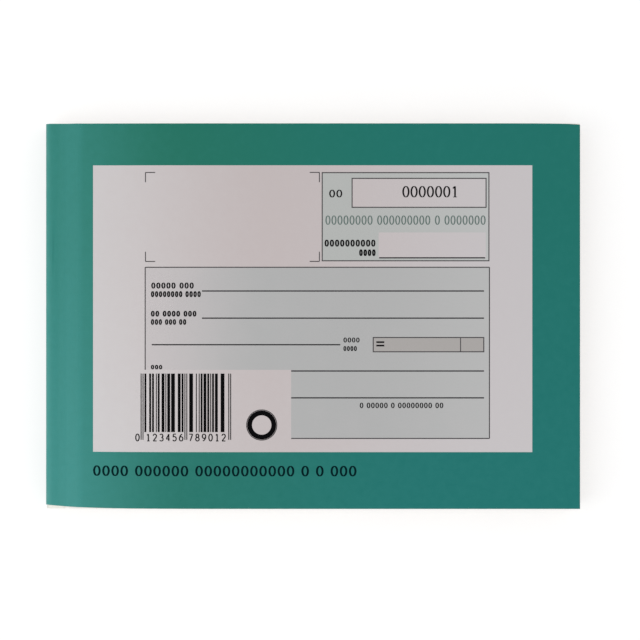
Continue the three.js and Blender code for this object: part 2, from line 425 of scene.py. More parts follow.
def pressed_leaves(name, foot):
    """The stapled ends of all the leaves: fine layers that follow the top face down over the ramp, in the
    three papers' colours, with painted shadow lines between the layers and a trimmed edge's drag marks."""
    leaves = Finish(name, Specular_IOR_Level=0.25)
    ramp = leaves.x.ramp(RAMP_FOOT_X, RAMP_HEAD_X)
    top = COVER_BOTTOM - STRIP_DROP + STRIP_DROP * ramp - (GLUE_FILM + 2 * AIR)
    wander = 0.7 * (leaves.noise(2.0, detail=3.0, stretch=(6, 6, 1)) - 0.5)
    count = ((leaves.z - foot) / (top - foot) * LEAF_COUNT + wander) % len(SET_OF_LEAVES)
    kinds = leaves.mixed(count > 1.0, srgb(*TRIPLICATE), srgb(*DUPLICATE))
    kinds = leaves.mixed(count > 2.0, kinds, srgb(*ORIGINAL))
    below_top = leaves.z < (top - TOP_LEAF_DEPTH)
    kinds = leaves.mixed(below_top, srgb(*ORIGINAL), kinds)
    shadow = (abs((count % 1.0) - 0.5) > 0.42) * below_top * 0.35
    drag = leaves.noise(0.5, detail=3.0, stretch=(1, 1, 12), shift=4.0)
    # dark is painted shadow between the layers plus the trimmed edge's drag marks
    dark = shadow + 0.1 * drag * below_top
    leaves.show(Base_Color=leaves.mixed(dark, kinds, srgb(150, 146, 140), "MULTIPLY"))
    leaves.show(Roughness=0.75 + 0.15 * drag)
    leaves.bumped(abs((count % 1.0) - 0.5) * below_top, 0.02)
    return leaves.material


def pulp_board(name, colour, fleck, fleck_size):
    """Board of waste pulp: coarse fibres with dark and light flecks."""
    board = Finish(name, Specular_IOR_Level=0.2)
    fibres = board.noise(0.4, detail=5.0, stretch=(3, 1, 1), roughness=0.7)
    dark = board.noise(fleck_size, shift=9.0).ramp(0.62, 0.68)
    light = board.noise(fleck_size * 1.6, stretch=(3, 1, 1), shift=6.0).ramp(0.64, 0.7)
    body = board.mixed(fibres, srgb(*(level * 0.86 for level in colour)), srgb(*colour))
    flecked = board.mixed(dark * 0.6, body, srgb(*fleck))
    board.show(Base_Color=board.mixed(light * 0.4, flecked, srgb(226, 220, 206)))
    board.show(Roughness=0.8 + 0.15 * fibres)
    board.bumped(fibres, 0.05)
    return board.material


def drawn_wire(name):
    """Flat staple wire: draw marks along it and a thin dull film."""
    wire = Finish(name, Metallic=1.0)
    marks = wire.noise(0.05, stretch=(1, 20, 20))
    film = wire.noise(1.5, detail=3.0, shift=8.0)
    wire.show(Base_Color=wire.mixed(film, srgb(176, 178, 181), srgb(206, 207, 208)))
    wire.show(Roughness=0.24 + 0.16 * marks + 0.12 * film)
    wire.bumped(marks, 0.004)
    return wire.material


def set_glue(name):
    """Dried white binding glue: milky, uneven and slightly glossy."""
    glue = Finish(name, Specular_IOR_Level=0.5)
    lumps = glue.noise(1.2, detail=3.0)
    glue.show(Base_Color=glue.mixed(lumps, srgb(224, 223, 214), srgb(238, 237, 230)))
    glue.show(Roughness=0.3 + 0.25 * lumps)
    glue.bumped(lumps, 0.05)
    return glue.material


def ink(name, dense, thin):
    """Printing ink on paper: dense, and thinner where the paper's fibres stand up."""
    film = Finish(name, Specular_IOR_Level=0.02)
    pinholes = film.noise(0.1).ramp(0.4, 0.75)
    film.show(Base_Color=film.mixed(pinholes, srgb(*dense), srgb(*thin)))
    film.show(Roughness=0.5 + 0.2 * pinholes)
    film.bumped(pinholes, 0.003)
    return film.material


def tint(name, middle, far, weak):
    """A printed field of grey that is weak towards the spine, full in the middle and a little lighter
    towards the fore edge."""
    film = Finish(name, Specular_IOR_Level=0.16)
    grain = film.noise(0.3, detail=3.0)
    cloud = film.noise(9.0, detail=1.0, shift=4.0)
    full = film.mixed(film.x.ramp(10.0, FORE_EDGE_X), srgb(*middle), srgb(*far))
    share = (1 - film.x.ramp(-64.0, -12.0) + 0.25 * (cloud - 0.5) + 0.2 * (grain - 0.5)).clamped()
    film.show(Base_Color=film.mixed(share, full, srgb(*weak)))
    film.show(Roughness=0.55 + 0.15 * grain)
    film.bumped(grain, 0.004)
    return film.material


ORIGINAL = (239, 238, 234)
DUPLICATE = (244, 231, 172)
TRIPLICATE = (241, 200, 210)

# Each card's third colour is its paler, lit tone, which the painted light mixes in
TEAL_CARD = coated_card("teal_card", (24, 109, 91), (19, 110, 105), (61, 142, 137), 0.42, teal_painted_light_and_hue)
PALE_PANEL = coated_card("pale_panel", (192, 182, 182), (198, 193, 195), (206, 203, 204), 0.5, panel_painted_light_and_hue)
CARD_BACK = bare_card("card_back", (232, 230, 222))
CARD_CORE = bare_card("card_core", (222, 219, 210), 0.04)
PAPERS = {
    "original": writing_paper("original_paper", ORIGINAL, (235, 234, 229)),
    "duplicate": writing_paper("duplicate_paper", DUPLICATE, (241, 226, 164)),
    "triplicate": writing_paper("triplicate_paper", TRIPLICATE, (237, 193, 204)),
}
GREY_BOARD = pulp_board("grey_board", (168, 163, 150), (92, 88, 82), 0.5)
SHIELD_CARD = pulp_board("shield_card", (205, 190, 158), (140, 122, 92), 0.35)
BOUND_LEAVES = pressed_leaves("bound_leaves", span("bound_edge", 2)[0])
STAPLE_WIRE = drawn_wire("staple_wire")
BINDING_GLUE = set_glue("binding_glue")
COVER_LINE_INK = ink("cover_line_ink", (0, 24, 27), (4, 42, 45))
PLAIN_INKS = [
    ink("line_ink", (66, 64, 66), (88, 85, 87)), ink("rule_ink", (36, 35, 37), (58, 56, 59)),
    ink("text_ink", (8, 7, 9), (28, 26, 29)), ink("bar_ink", (3, 3, 4), (14, 13, 15)),
    ink("heading_ink", (90, 106, 102), (118, 134, 129)), ink("serial_ink", (172, 44, 46), (190, 80, 80)),
]
COVER_INKS = [
    tint("cover_tint", (175, 175, 175), (187, 187, 187), (195, 189, 190)),
    tint("cover_number_tint", (178, 180, 178), (191, 192, 192), (195, 189, 190)),
    ink("cover_amount_tint", (169, 165, 162), (175, 171, 171)), *PLAIN_INKS,
]


def leaf_inks(kind, paper):
    """The inks of the form on one kind of leaf: its tints let the paper's own colour through."""
    def over_paper(*shares):
        return np.array(paper) * shares

    weak = over_paper(0.94, 0.948, 0.953)
    return [
        tint(f"{kind}_tint", over_paper(0.89, 0.91, 0.92), over_paper(0.905, 0.92, 0.93), weak),
        tint(f"{kind}_number_tint", over_paper(0.885, 0.918, 0.92), over_paper(0.9, 0.925, 0.93), weak),
        ink(f"{kind}_amount_tint", over_paper(0.83, 0.84, 0.845), over_paper(0.86, 0.866, 0.868)),
        *PLAIN_INKS,
    ]


LEAF_INKS = {
    kind: leaf_inks(kind, paper)
    for kind, paper in (("original", ORIGINAL), ("duplicate", DUPLICATE), ("triplicate", TRIPLICATE))
}
TINT, COOL_TINT, BOX_TINT, LINE, DARK_LINE, TEXT, BARS, HEAD, SERIAL = range(len(COVER_INKS))


# Surfaces

def slab(upper, lower, keep=None, ring=False):
    """A closed sheet between two like grids of points. Cells that keep leaves out become holes, a wall
    stands wherever a cell meets the outside, and ring joins the last row of points to the first.
    Gives points, quads and each quad's side: 0 upper, 1 lower, 2 wall."""
    count = upper.shape[0] * upper.shape[1]
    number = np.arange(count).reshape(upper.shape[:2])
    if ring:
        number = np.vstack([number, number[:1]])
    corner = np.stack([number[:-1, :-1], number[1:, :-1], number[1:, 1:], number[:-1, 1:]], axis=-1)
    if keep is None:
        keep = np.ones(corner.shape[:2], bool)
    around = np.pad(keep, 1)
    if ring:
        around[0], around[-1] = around[-2], around[1]
    walls = []
    for side, (i, j) in enumerate(((0, -1), (1, 0), (0, 1), (-1, 0))):
        next_cell = around[1 + i:1 + i + keep.shape[0], 1 + j:1 + j + keep.shape[1]]
        edge = corner[keep & ~next_cell]
        start, end = edge[:, side], edge[:, (side + 1) % 4]
        walls.append(np.stack([start + count, end + count, end, start], axis=-1))
    walls = np.concatenate(walls)
    faces = corner[keep]
    quads = np.concatenate([faces, faces[:, ::-1] + count, walls])
    sides = np.repeat([0, 1, 2], [len(faces), len(faces), len(walls)])
    points = np.concatenate([upper.reshape(-1, 3), lower.reshape(-1, 3)])
    used, renumbered = np.unique(quads, return_inverse=True)
    return points[used], renumbered.reshape(-1, 4), sides


def joined(shapes):
    """Several shapes as one: their points, quads and sides end to end."""
    starts = np.cumsum([0] + [len(points) for points, _, _ in shapes[:-1]])
    points = np.concatenate([points for points, _, _ in shapes])
    quads = np.concatenate([quads + start for (_, quads, _), start in zip(shapes, starts)])
    sides = np.concatenate([sides for _, _, sides in shapes])
    return points, quads, sides


def flat(height):
    """A height function that is the same everywhere."""
    return lambda x, y: np.full_like(x, height, dtype=float)


def plate(xs, ys, top, bottom, keep=None, shift=None):
    """A sheet over the grid xs by ys between the heights top(x, y) and bottom(x, y). The shift moves each
    point along Y."""
    x, y = np.meshgrid(xs, ys, indexing="ij")
    moved = y if shift is None else y + shift(x, y)
    return slab(np.dstack([x, moved, top(x, y)]), np.dstack([x, moved, bottom(x, y)]), keep)


def refined(stops, step):
    """The stops with even places between them, none further apart than the step."""
    stops = sorted(set(stops))
    pieces = [
        np.linspace(low, high, math.ceil((high - low) / step - 1e-6), endpoint=False)
        for low, high in zip(stops, stops[1:])
    ]
    return np.concatenate([*pieces, stops[-1:]])


def piece(name, shape, body, finishes, which=None):
    """A mesh object from a shape, riding on a body. Which gives each quad's place in the finishes."""
    points, quads, sides = shape
    mesh = bpy.data.meshes.new(name)
    mesh.vertices.add(len(points))
    mesh.vertices.foreach_set("co", (points * MM).astype(np.float32).ravel())
    mesh.loops.add(quads.size)
    mesh.loops.foreach_set("vertex_index", quads.astype(np.int32).ravel())
    mesh.polygons.add(len(quads))
    mesh.polygons.foreach_set("loop_start", np.arange(0, quads.size, 4, dtype=np.int32))
    for finish in finishes:
        mesh.materials.append(finish)
    if which is not None:
        mesh.polygons.foreach_set("material_index", which.astype(np.int32))
    mesh.polygons.foreach_set("use_smooth", sides < 2)
    mesh.update(calc_edges=True)
    mesh.set_sharp_from_angle(angle=math.radians(SHARP_ANGLE))
    made = bpy.data.objects.new(name, mesh)
    bpy.context.scene.collection.objects.link(made)
    if body:
        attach(made, body)
    return made


# Shape of the settled cover

def fade(distance, reach):
    """Falls from 1 to 0 as the distance grows past the reach."""
    return np.exp(-np.maximum(distance, 0) / reach)


def corner_shift(x, y):
    """The card's foot edge is drawn up at the spine, and its head edge is drawn down at the fore edge;
    both fade exponentially along the edge, and with a high power of the share of the width across it."""
    towards_foot = ((HEAD_Y - y) / WIDTH) ** CORNER_SHARPNESS
    towards_head = ((y - FOOT_Y) / WIDTH) ** CORNER_SHARPNESS
    lift = FOOT_CORNER_LIFT * fade(x - SPINE_X, FOOT_CORNER_REACH) * towards_foot
    return lift - HEAD_CORNER_DROP * fade(FORE_EDGE_X - x, HEAD_CORNER_REACH) * towards_head


def burr(x, y):
    """The trimmed edges roll down a little where the knife came through, and this fades from the edge."""
    nearest = np.minimum(FORE_EDGE_X - x, np.minimum(HEAD_Y - y, y - FOOT_Y))
    return BURR * fade(nearest, BURR_REACH)


def cover_lift(x, y):
    """The sprung card rises from the fold as one minus a bell and then stays level, with a shallow wave
    that is a sine along the book times a cosine across it."""
    from_fold = np.maximum(x - CARD_START_X, 0)
    rise = 1 - np.exp(-(from_fold / COVER_SWELL_REACH) ** 2)
    wave = COVER_WAVE * np.sin(x / 31 + 0.6) * np.cos(y / 40 - 0.4)
    return rise * (COVER_SWELL + wave)


def cover_top(x, y):
    """Height of the cover's printed face."""
    return TOP + cover_lift(x, y) - burr(x, y)


def cover_bottom(x, y):
    """Height of the cover's inner face."""
    return COVER_BOTTOM + cover_lift(x, y)


# Front cover

EDGE_STEPS = (0.0, 0.1, 0.25, 0.5, 1.0)
head_rows = [HEAD_Y - step for step in EDGE_STEPS]
foot_rows = [FOOT_Y + step for step in EDGE_STEPS]
cover_columns = [CARD_START_X, PANEL[0], PANEL[2], *(FORE_EDGE_X - step for step in EDGE_STEPS)]
cover_xs = refined(cover_columns, COVER_STEP)
cover_ys = refined([*foot_rows, PANEL[1], PANEL[3], *head_rows], COVER_STEP)
cover_shape = plate(cover_xs, cover_ys, cover_top, cover_bottom, shift=corner_shift)

# Ink outside, bare card inside and the core at cut edges, in the order of a quad's sides
CARD_FINISHES = [TEAL_CARD, CARD_BACK, CARD_CORE]

# The panel's own quads end within this much of it, because the corner shift moves them
PANEL_SLACK = 0.2


def inside(x, y, box):
    """Which places lie within a box of left, foot, right and head."""
    left, foot, right, head = box
    return (x > left) & (x < right) & (y > foot) & (y < head)


def cover_finishes(shape):
    """Each quad's place in the card's finishes, with the panel's ink as the last of them."""
    points, quads, sides = shape
    middle = points[quads].mean(axis=1)
    panel = (PANEL[0], PANEL[1] - PANEL_SLACK, PANEL[2], PANEL[3] + PANEL_SLACK)
    on_panel = inside(middle[:, 0], middle[:, 1], panel) & (sides == 0)
    return np.where(on_panel, len(CARD_FINISHES), sides)


front_cover = piece(
    "front_cover_card", cover_shape, "front_cover", [*CARD_FINISHES, PALE_PANEL],
    cover_finishes(cover_shape),
)
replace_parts(front_cover, "front_cover")


# Wrap of the spine and back

def rounded_line(corners, bends, step):
    """A line through corners whose inner ones are arcs: its points, and the unit normals to its left.
    An arc is its centre plus or minus the bend along the normal as that turns from one side to the next.
    The loop is over the corners, and each straight stretch and arc is one array."""
    corners = np.array(corners, float)
    runs = np.diff(corners, axis=0)
    runs /= np.linalg.norm(runs, axis=1, keepdims=True)
    lefts = np.stack([-runs[:, 1], runs[:, 0]], axis=-1)
    points, normals = [], []
    here = corners[0]
    for before, (at, bend) in enumerate(zip(corners[1:], [*bends, 0.0])):
        after = before + 1
        last = after == len(runs)
        turn = 0.0
        if not last:
            cross = runs[before][0] * runs[after][1] - runs[before][1] * runs[after][0]
            turn = math.atan2(cross, float(runs[before] @ runs[after]))
        meets = at - runs[before] * bend * math.tan(abs(turn) / 2)
        steps = max(1, math.ceil(np.linalg.norm(meets - here) / step))
        share = np.linspace(0, 1, steps + last, endpoint=last)[:, None]
        points.append(here + (meets - here) * share)
        normals.append(np.repeat(lefts[before:before + 1], len(share), axis=0))
        if last:
            break
        side = math.copysign(1, turn)
        centre = meets + side * bend * lefts[before]
        angles = np.linspace(0, turn, max(3, math.ceil(abs(turn) * 12)), endpoint=False)
        x, z = lefts[before]
        cosine, sine = np.cos(angles), np.sin(angles)
        turned = np.stack([x * cosine - z * sine, x * sine + z * cosine], axis=-1)
        points.append(centre - side * bend * turned)
        normals.append(turned)
        here = centre - side * bend * lefts[after]
    return np.concatenate(points), np.concatenate(normals)


def bell(distance, width):
    """1 at no distance, falling off evenly on both sides as the exponential of minus its square."""
    return np.exp(-(distance / width) ** 2)


def strip_relief(x, z, y):
    """The bound strip is pressed in along its staples, stands up faintly over each crown, and has a slack
    wave, one crease that is steep towards the fold, and one dent near the spine's bend. Each of them is a
    bell across the strip, times its own course along it."""
    on_top = np.clip((z - TOP + 2.0) / 0.8, 0, 1)
    staple_x = sum(span("head_staple", 0)) / 2
    relief = -VALLEY_DEPTH * bell(x - staple_x + 0.4, 1.3)
    for node in ("head_staple", "foot_staple"):
        foot, head = span(node, 1)
        relief += CROWN_HEIGHT * bell(x - staple_x, 0.6) * np.clip((head - y) * (y - foot) / 10, 0, 1)
    relief += SLACK_HEIGHT * np.sin(y / 5.3 + 0.7) * np.sin(y / 13 + 2.0) * bell(x - SLACK_X, 2.6)
    past_crease = x - CREASE_X - 0.02 * (y - CREASE_Y)
    steep = np.where(past_crease > 0, 0.35, 1.1)
    relief += CREASE_HEIGHT * bell(past_crease, steep) * bell(y - CREASE_Y, 6.0)
    relief -= DENT_DEPTH * bell(x - DENT_X, 0.8) * bell(y - DENT_Y, 2.2)
    return on_top * relief


strip_z = TOP - STRIP_DROP - CARD / 2
spine_line_x = SPINE_X + CARD / 2
wrap_line, wrap_normal = rounded_line(
    [
        (FORE_EDGE_X, CARD / 2), (spine_line_x, CARD / 2), (spine_line_x, strip_z),
        (RAMP_FOOT_X, strip_z), (RAMP_HEAD_X, TOP - CARD / 2), (HINGE_X, TOP - CARD / 2),
    ],
    [BACK_BEND, FRONT_BEND, RAMP_BEND, RAMP_BEND], WRAP_LINE_STEP,
)

# The flat back, which begins past the spine's lower bend, keeps one point in so many
on_back = (wrap_line[:, 0] > SPINE_X + 4) & (wrap_line[:, 1] < CARD)
kept = ~on_back | (np.arange(len(wrap_line)) % BACK_THINNING == 0)
wrap_line, wrap_normal = wrap_line[kept], wrap_normal[kept]
wrap_ys = refined([*foot_rows, *head_rows], WRAP_ROW_STEP)


def wrap_face(out):
    """One face of the wrap: the line moved out along its normals, by the relief too, and carried along Y,
    where the corner shift moves it the more the higher it lies."""
    x = np.repeat(wrap_line[:, :1], len(wrap_ys), axis=1)
    z = np.repeat(wrap_line[:, 1:], len(wrap_ys), axis=1)
    y = np.repeat(wrap_ys[None], len(wrap_line), axis=0)
    out = out + strip_relief(x, z, y)
    high = np.clip(z / TOP, 0, 1)
    return np.dstack([
        x + out * wrap_normal[:, :1],
        y + high * corner_shift(x, y),
        z + out * wrap_normal[:, 1:],
    ])


wrap_shape = slab(wrap_face(CARD / 2), wrap_face(-CARD / 2))
wrap = piece("cover_wrap_card", wrap_shape, "book_back", CARD_FINISHES, wrap_shape[2])
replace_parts(wrap, "cover_wrap")


# Leaves

random = np.random.default_rng(LEAF_SEED)
KINDS = [kind for kind, _ in SET_OF_LEAVES]
PAPER_LIST = [PAPERS[kind] for kind in KINDS]


def fold_x(number):
    """Where a hinge's share of the fold line starts, and where the share before it ends."""
    return HINGE_X + number * FOLD_SHARE


def plain_leaf(start, low, high):
    """One trimmed leaf, a few hundredths of a millimetre out of line with its neighbours."""
    back, foot, head = random.uniform(0, TRIM_SPREAD, 3)
    return plate([start, FORE_EDGE_X - back], [FOOT_Y + foot, HEAD_Y - head], flat(high), flat(low))


def perforated_leaf(start, ends, low, high):
    """A leaf with its row of cuts, each between two short ties. It goes on to the given ends past the
    cuts' near side: the middle of the ties for a stub, or the cuts' far side and the fore edge."""
    ties = math.floor(WIDTH / PERFORATION_PITCH)
    cuts = [(i - (ties - 2) / 2) * PERFORATION_PITCH for i in range(ties - 1)]
    half = (PERFORATION_PITCH - TIE_WIDTH) / 2
    xs = np.array([start, PERFORATION_X - CUT_WIDTH / 2, *ends])
    ys = np.array([FOOT_Y, *(y + side for y in cuts for side in (-half, half)), HEAD_Y])
    keep = np.ones((len(xs) - 1, len(ys) - 1), bool)
    keep[1, 1::2] = False
    return plate(xs, ys, flat(high), flat(low), keep)


def paper_piece(name, body, leaves):
    """Several leaves as one piece, each in its own paper: leaves are pairs of a kind and a shape."""
    which = np.repeat([KINDS.index(kind) for kind, _ in leaves], [len(shape[1]) for _, shape in leaves])
    return piece(name, joined([shape for _, shape in leaves]), body, PAPER_LIST, which)


def pack(node, body, start):
    """Every leaf of a pack as its own sheet; the uppermost one is perforated. Gives each leaf's kind,
    foot and head from the bottom up."""
    foot, head = span(node, 2)
    pitch = sum(thickness + AIR for _, thickness in SET_OF_LEAVES)
    layers = []
    for number in range(round((head - foot + AIR) / pitch)):
        height = foot + number * pitch
        for kind, thickness in SET_OF_LEAVES:
            layers.append((kind, height, height + thickness))
            height += thickness + AIR
    leaves = [(kind, plain_leaf(start, low, high)) for kind, low, high in layers[:-1]]
    kind, low, high = layers[-1]
    whole = (PERFORATION_X + CUT_WIDTH / 2, FORE_EDGE_X)
    leaves.append((kind, perforated_leaf(start, whole, low, high)))
    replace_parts(paper_piece(f"{node}_leaves", body, leaves), node)
    return layers


pack("lower_sets", "book_back", HINGE_X)
turning = [(*layer, 0) for layer in pack("middle_sets", "middle_sets", fold_x(1))]
for number, hinge in enumerate(HINGES[1:-1], start=1):
    body = hinge["child"]
    node = frame["record"]["behaviour"]["bodies"][body][0]
    kind = body.split("_")[0]
    low, high = span(node, 2)
    turning.append((kind, low, high, number))
    if kind == "triplicate":
        shape = plate([fold_x(number + 1), FORE_EDGE_X], [FOOT_Y, HEAD_Y], flat(high), flat(low))
    else:
        shape = perforated_leaf(fold_x(number + 1), (PERFORATION_X - TIE_GAP,), low, high)
    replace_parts(paper_piece(f"{node}_leaf", body, [(kind, shape)]), node)


# Folds: slivers across each hinge's share of the fold line

def fold_xs(number):
    """Places across one hinge's share of the fold, spaced by a half minus the sine of a third of the arcsine,
    which undoes a smoothstep."""
    level = np.linspace(0, 1, FOLD_STEPS + 1)
    return fold_x(number) + FOLD_SHARE * (0.5 - np.sin(np.arcsin(1 - 2 * level) / 3))


def bend(made, hinge, number):
    """Bakes a piece's place into its mesh; the ends of the hinge's share of the fold are worked out but not used.
    """
    start, end = ((fold_x(edge) * MM, 0, 0) for edge in (number, number + 1))
    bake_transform(made)


for number, hinge in enumerate(HINGES):
    shape = plate(fold_xs(number), cover_ys, flat(TOP), flat(COVER_BOTTOM), shift=corner_shift)
    card = piece(f"card_fold_{number + 1}", shape, None, CARD_FINISHES, shape[2])
    bend(card, hinge, number)
    leaves = [
        (kind, plate(fold_xs(number), [FOOT_Y, HEAD_Y], flat(high), flat(low)))
        for kind, low, high, own in turning if own >= number
    ]
    if leaves:
        bend(paper_piece(f"leaf_fold_{number + 1}", None, leaves), hinge, number)


# Print

def region(boxes, holes=(), level=1.0, ink_place=LINE):
    """Ink over the boxes but not the holes, each left, foot, right and head. Gives a flat grid of places,
    which of its cells are inked, whether its ends join, how high the ink stands and which ink it is."""
    everything = [*boxes, *holes]
    xs = refined([box[i] for box in everything for i in (0, 2)], INK_STEP)
    ys = refined([box[i] for box in everything for i in (1, 3)], INK_STEP)
    x, y = np.meshgrid((xs[1:] + xs[:-1]) / 2, (ys[1:] + ys[:-1]) / 2, indexing="ij")

    def covered(some):
        hits = [inside(x, y, box) for box in some]
        return np.any(hits, axis=0) if hits else np.zeros(x.shape, bool)

    grid = np.dstack(np.meshgrid(xs, ys, indexing="ij"))
    return grid, covered(boxes) & ~covered(holes), False, level, ink_place


def across(left, y, right, weight=RULE, ink_place=LINE):
    """A rule that runs along X."""
    return region([(left, y - weight / 2, right, y + weight / 2)], ink_place=ink_place)


def upright(x, foot, head, weight=RULE):
    """A rule that runs along Y."""
    return region([(x - weight / 2, foot, x + weight / 2, head)])


def outline(box):
    """A frame just inside a box."""
    left, foot, right, head = box
    return region([box], [(left + RULE, foot + RULE, right - RULE, head - RULE)])


def stroke(line, thick, thin, ink_place):
    """A pen stroke along a line of points: wide where it runs up or down, narrow where it runs across. Its
    sides are the line plus and minus half the width along the normal. Gives what region gives."""
    closed = np.allclose(line[0], line[-1])
    line = line[:-1] if closed else line
    ahead, back = np.roll(line, -1, axis=0), np.roll(line, 1, axis=0)
    if not closed:
        ahead[-1], back[0] = line[-1], line[0]
    run = ahead - back
    run /= np.linalg.norm(run, axis=1, keepdims=True)
    half = (thin + (thick - thin) * np.abs(run[:, 1:])) / 2
    left = np.stack([-run[:, 1], run[:, 0]], axis=-1) * half
    return np.stack([line + left, line - left], axis=1)[:, ::-1], None, closed, 1.0, ink_place


def arc(x, y, across_it, up_it, start, end, turn=15):
    """Part of an ellipse, from one angle in degrees to another, with a point every so many degrees."""
    angle = np.radians(np.linspace(start, end, math.ceil(abs(end - start) / turn) + 1))
    return np.stack([x + across_it * np.cos(angle), y + up_it * np.sin(angle)], axis=-1)


def straights(*places):
    """Straight strokes, one from each place to the next."""
    return [np.array(pair, float) for pair in zip(places, places[1:])]


# Each digit in a box 0.62 wide and 1 high
SIX = [arc(0.31, 0.31, 0.31, 0.31, 0, 360), arc(0.62, 0.31, 0.62, 0.69, 100, 180)]
DIGITS = {
    "0": [arc(0.31, 0.5, 0.31, 0.5, 0, 360)],
    "1": straights((0.08, 0.82), (0.32, 1.0), (0.32, 0.0)) + straights((0.1, 0.0), (0.54, 0.0)),
    "2": [
        np.vstack([arc(0.3, 0.71, 0.29, 0.29, 170, -35), [(0.03, 0.03)]]),
        *straights((0.0, 0.0), (0.62, 0.0)),
    ],
    "3": [arc(0.29, 0.75, 0.27, 0.25, 150, -90), arc(0.29, 0.25, 0.32, 0.25, 90, -150)],
    "4": straights((0.62, 0.28), (0.0, 0.28), (0.45, 1.0), (0.45, 0.0)),
    "5": [*straights((0.56, 1.0), (0.1, 1.0), (0.06, 0.55)), arc(0.29, 0.32, 0.32, 0.32, 130, -150)],
    "6": SIX,
    "7": straights((0.0, 1.0), (0.62, 1.0), (0.2, 0.0)),
    "8": [arc(0.31, 0.76, 0.25, 0.24, 0, 360), arc(0.31, 0.26, 0.31, 0.26, 0, 360)],
    "9": [(0.62, 1.0) - line for line in SIX],
}


def number_row(digits, x, y, height, pitch, narrow, thick, thin, ink_place):
    """A row of plain digits from the left, each one pitch after the last."""
    size = np.array([height * narrow, height])
    return [
        stroke(line * size + (x + place * pitch, y), thick, thin, ink_place)
        for place, digit in enumerate(digits) for line in DIGITS[digit]
    ]


GROUP_SPACE = 0.6
NOUGHT_SHARE = 0.84


def label(place, groups, thick, ink_place=TEXT):
    """Groups of plain noughts that fill a place: a nought is a set share of the pitch wide, and the space
    between groups is a share of the pitch too."""
    left, foot, right, head = place
    height = head - foot
    pitch = (right - left) / (sum(groups) + GROUP_SPACE * (len(groups) - 1))
    nought_width = DIGITS["0"][0][:, 0].max()
    narrow = (pitch * NOUGHT_SHARE - thick) / (nought_width * height)
    look = (foot, height, pitch, narrow, thick, thick / 2, ink_place)
    noughts = []
    x = left + thick / 2
    for count in groups:
        noughts += number_row("0" * count, x, *look)
        x += (count + GROUP_SPACE) * pitch
    return noughts


def receipt_form(lower_left):
    """The blank receipt: tinted fields, frames, rules, and labels in plain noughts. Its lowest field
    starts at the given X, so that the bars can have the corner beside it."""
    left, foot, right, head = STAMP_SPACE
    corners = [
        across(min(x, x + arm), y, max(x, x + arm), FINE_RULE)
        for x, arm in ((left, CORNER_ARM), (right, -CORNER_ARM)) for y in (foot, head)
    ] + [
        upright(x, min(y, y + arm), max(y, y + arm), FINE_RULE)
        for x in (left, right) for y, arm in ((foot, CORNER_ARM), (head, -CORNER_ARM))
    ]
    upper_left, upper_foot, upper_right, upper_head = UPPER_FIELD
    lower_foot = LOWER_FIELD[1]
    tints = [
        region([UPPER_FIELD, (lower_left, *LOWER_FIELD[1:])], (), FIELD_LEVEL, TINT),
        region([NUMBER_FIELD], [NUMBER_BOX, DATE_BOX], FIELD_LEVEL, COOL_TINT),
        region([AMOUNT_BOX], (), BOX_LEVEL, BOX_TINT),
    ]
    side_foot = lower_foot if lower_left == upper_left else upper_foot
    frames = [
        outline(NUMBER_FIELD), outline(NUMBER_BOX), outline(AMOUNT_BOX),
        upright(AMOUNT_DIVIDER_X, AMOUNT_BOX[1], AMOUNT_BOX[3], FINE_RULE),
        across(upper_left, upper_head, upper_right), upright(upper_left, side_foot, upper_head),
        upright(upper_right, lower_foot, upper_head), across(lower_left, lower_foot, upper_right),
    ]
    rules = [*RULES, *((max(lower_left, RULES[2][0]), y, RULES[0][2]) for y in FOOT_RULES_Y)]
    rules = [across(*rule, WRITING_RULE, DARK_LINE) for rule in rules]
    labels = [*(label(*place_and_look) for place_and_look in LABELS), label(*HEADING, HEAD)]
    mark_left, mark_y, mark_right = AMOUNT_MARK
    twin_bars = [
        across(mark_left, mark_y + rise, mark_right, AMOUNT_MARK_STROKE, TEXT)
        for rise in (-AMOUNT_MARK_STROKE, AMOUNT_MARK_STROKE)
    ]
    return [*tints, *corners, *frames, *rules, *twin_bars, *(mark for row in labels for mark in row)]


def bar_code():
    """Plain bars in seeded order between long guard bars, over plain digits that count up."""
    left, foot, right, head = BAR_CODE
    pick = np.random.default_rng(BAR_SEED)
    module = (right - left) / BAR_MODULES

    def bar_at(start, width, low):
        return region([(left + start * module, low, left + (start + width) * module, head)], ink_place=BARS)

    marks = [bar_at(start, 1, GUARD_FOOT_Y) for start in GUARD_BARS]
    for start, end in BAR_HALVES:
        while start < end:
            width = min(int(pick.choice([1, 2, 2, 3, 4])), end - start)
            marks.append(bar_at(start, width, foot))
            start += width + int(pick.choice([1, 1, 2, 3]))
    size = (BAR_DIGIT_HEIGHT, BAR_DIGIT_PITCH, BAR_DIGIT_NARROWING)
    for digits, x in zip(("0", "123456", "789012"), BAR_DIGITS_X):
        marks += number_row(digits, x, BAR_DIGITS_Y, *size, *BAR_DIGIT_STROKES, TEXT)
    return marks


def plain_rings():
    """A bare ring inside a hairline one."""
    return [
        stroke(arc(*RING_CENTRE, radius, radius, 0, 360, RING_TURN), weight, weight, BARS)
        for radius, weight in RINGS
    ]


def printed(name, marks, body, surface, film, finishes, scale=1.0, middle=(0.0, 0.0), shift=None):
    """Ink that stands on a surface: every mark is a closed film that follows it, from a hair under it to
    its own share of the film's height above it."""
    shapes, inks = [], []
    for grid, keep, ring, level, ink_place in marks:
        faces = [np.dstack([grid, np.full(grid.shape[:2], height)]) for height in (level, -SUNK / film)]
        shapes.append(slab(*faces, keep, ring))
        inks.append(np.full(len(shapes[-1][1]), ink_place))
    points, quads, sides = joined(shapes)
    x = points[:, 0] * scale + middle[0]
    y = points[:, 1] * scale + middle[1]
    moved = y if shift is None else y + shift(x, y)
    raised = np.stack([x, moved, surface(x, y) + points[:, 2] * film], axis=-1)
    piece(name, (raised, quads, sides), body, finishes, np.concatenate(inks))


